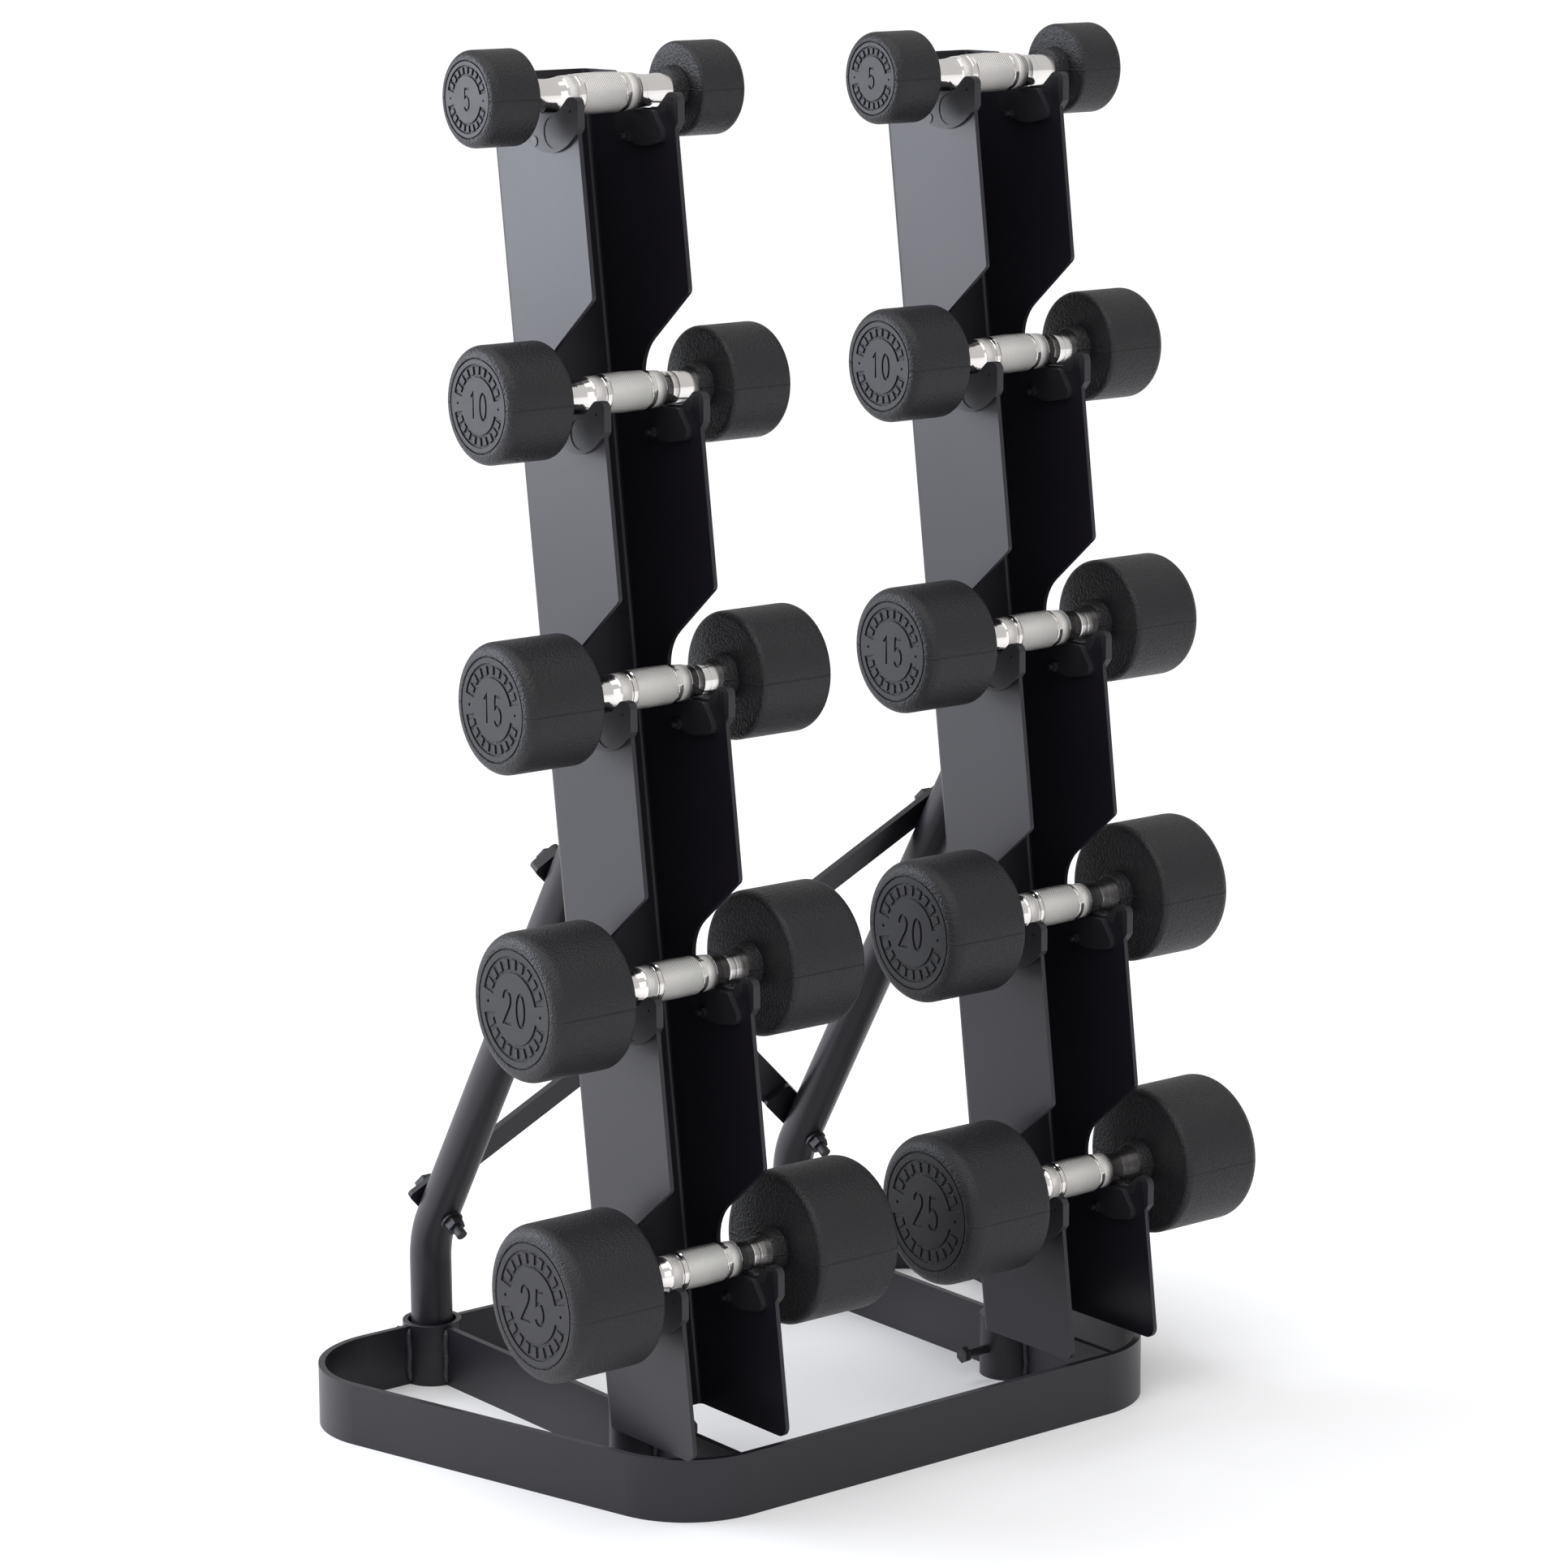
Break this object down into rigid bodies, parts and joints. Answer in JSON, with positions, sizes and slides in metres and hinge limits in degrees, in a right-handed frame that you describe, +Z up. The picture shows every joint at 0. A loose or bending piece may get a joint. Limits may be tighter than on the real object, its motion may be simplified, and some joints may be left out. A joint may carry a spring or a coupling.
{
  "type": "dumbbell rack",
  "caption": "Freestanding steel rack with leaning saw-tooth columns, moulded cradles, a bent flat-bar floor loop and round-headed dumbbells resting across the cradles.",
  "frame": {"origin": "middle of the footprint, on the floor under the base loop", "axes": "+Z up, -Y towards the open front of the columns, X along the dumbbell handles"},
  "size_m": [0.76, 0.53, 1.2205],
  "materials": {
    "powder_coat": "satin black powder coat",
    "black_plastic": "moulded, satin",
    "black_urethane": "fine pebbled urethane",
    "bright_chrome": "polished with a knurled middle",
    "black_fastener": "black oxide"
  },
  "bodies": {
    "rack": {"base_loop": "powder_coat", "set_bolts": "black_fastener", "post_caps": "black_plastic", "column_cleats": "powder_coat", "brace_a": "powder_coat", "brace_b": "powder_coat", "brace_spacers": "powder_coat", "brace_bolts": "black_fastener", "brace_nuts": "black_fastener", "saddle_screws": "black_fastener", "inner_bar_left": "powder_coat", "front_socket_left": "powder_coat", "rear_socket_left": "powder_coat", "front_post_left": "powder_coat", "rear_tube_left": "powder_coat", "column_left": "powder_coat", "inner_bar_right": "powder_coat", "front_socket_right": "powder_coat", "rear_socket_right": "powder_coat", "front_post_right": "powder_coat", "rear_tube_right": "powder_coat", "column_right": "powder_coat", "saddles_left_25": "black_plastic", "saddles_left_20": "black_plastic", "saddles_left_15": "black_plastic", "saddles_left_10": "black_plastic", "saddles_left_5": "black_plastic", "saddles_right_25": "black_plastic", "saddles_right_20": "black_plastic", "saddles_right_15": "black_plastic", "saddles_right_10": "black_plastic", "saddles_right_5": "black_plastic"},
    "dumbbell_left_25": {"grip_left_25": "bright_chrome", "heads_left_25": "black_urethane"},
    "dumbbell_left_20": {"grip_left_20": "bright_chrome", "heads_left_20": "black_urethane"},
    "dumbbell_left_15": {"grip_left_15": "bright_chrome", "heads_left_15": "black_urethane"},
    "dumbbell_left_10": {"grip_left_10": "bright_chrome", "heads_left_10": "black_urethane"},
    "dumbbell_left_5": {"grip_left_5": "bright_chrome", "heads_left_5": "black_urethane"},
    "dumbbell_right_25": {"grip_right_25": "bright_chrome", "heads_right_25": "black_urethane"},
    "dumbbell_right_20": {"grip_right_20": "bright_chrome", "heads_right_20": "black_urethane"},
    "dumbbell_right_15": {"grip_right_15": "bright_chrome", "heads_right_15": "black_urethane"},
    "dumbbell_right_10": {"grip_right_10": "bright_chrome", "heads_right_10": "black_urethane"},
    "dumbbell_right_5": {"grip_right_5": "bright_chrome", "heads_right_5": "black_urethane"}
  },
  "joints": [
    {"name": "lift_left_25", "type": "slide", "parent": "rack", "child": "dumbbell_left_25", "axis": [0, -0.7071, 0.7071], "range_m": [0, 0.16]},
    {"name": "lift_left_20", "type": "slide", "parent": "rack", "child": "dumbbell_left_20", "axis": [0, -0.7071, 0.7071], "range_m": [0, 0.16]},
    {"name": "lift_left_15", "type": "slide", "parent": "rack", "child": "dumbbell_left_15", "axis": [0, -0.7071, 0.7071], "range_m": [0, 0.16]},
    {"name": "lift_left_10", "type": "slide", "parent": "rack", "child": "dumbbell_left_10", "axis": [0, -0.7071, 0.7071], "range_m": [0, 0.16]},
    {"name": "lift_left_5", "type": "slide", "parent": "rack", "child": "dumbbell_left_5", "axis": [0, -0.7071, 0.7071], "range_m": [0, 0.16]},
    {"name": "lift_right_25", "type": "slide", "parent": "rack", "child": "dumbbell_right_25", "axis": [0, -0.7071, 0.7071], "range_m": [0, 0.16]},
    {"name": "lift_right_20", "type": "slide", "parent": "rack", "child": "dumbbell_right_20", "axis": [0, -0.7071, 0.7071], "range_m": [0, 0.16]},
    {"name": "lift_right_15", "type": "slide", "parent": "rack", "child": "dumbbell_right_15", "axis": [0, -0.7071, 0.7071], "range_m": [0, 0.16]},
    {"name": "lift_right_10", "type": "slide", "parent": "rack", "child": "dumbbell_right_10", "axis": [0, -0.7071, 0.7071], "range_m": [0, 0.16]},
    {"name": "lift_right_5", "type": "slide", "parent": "rack", "child": "dumbbell_right_5", "axis": [0, -0.7071, 0.7071], "range_m": [0, 0.16]}
  ]
}
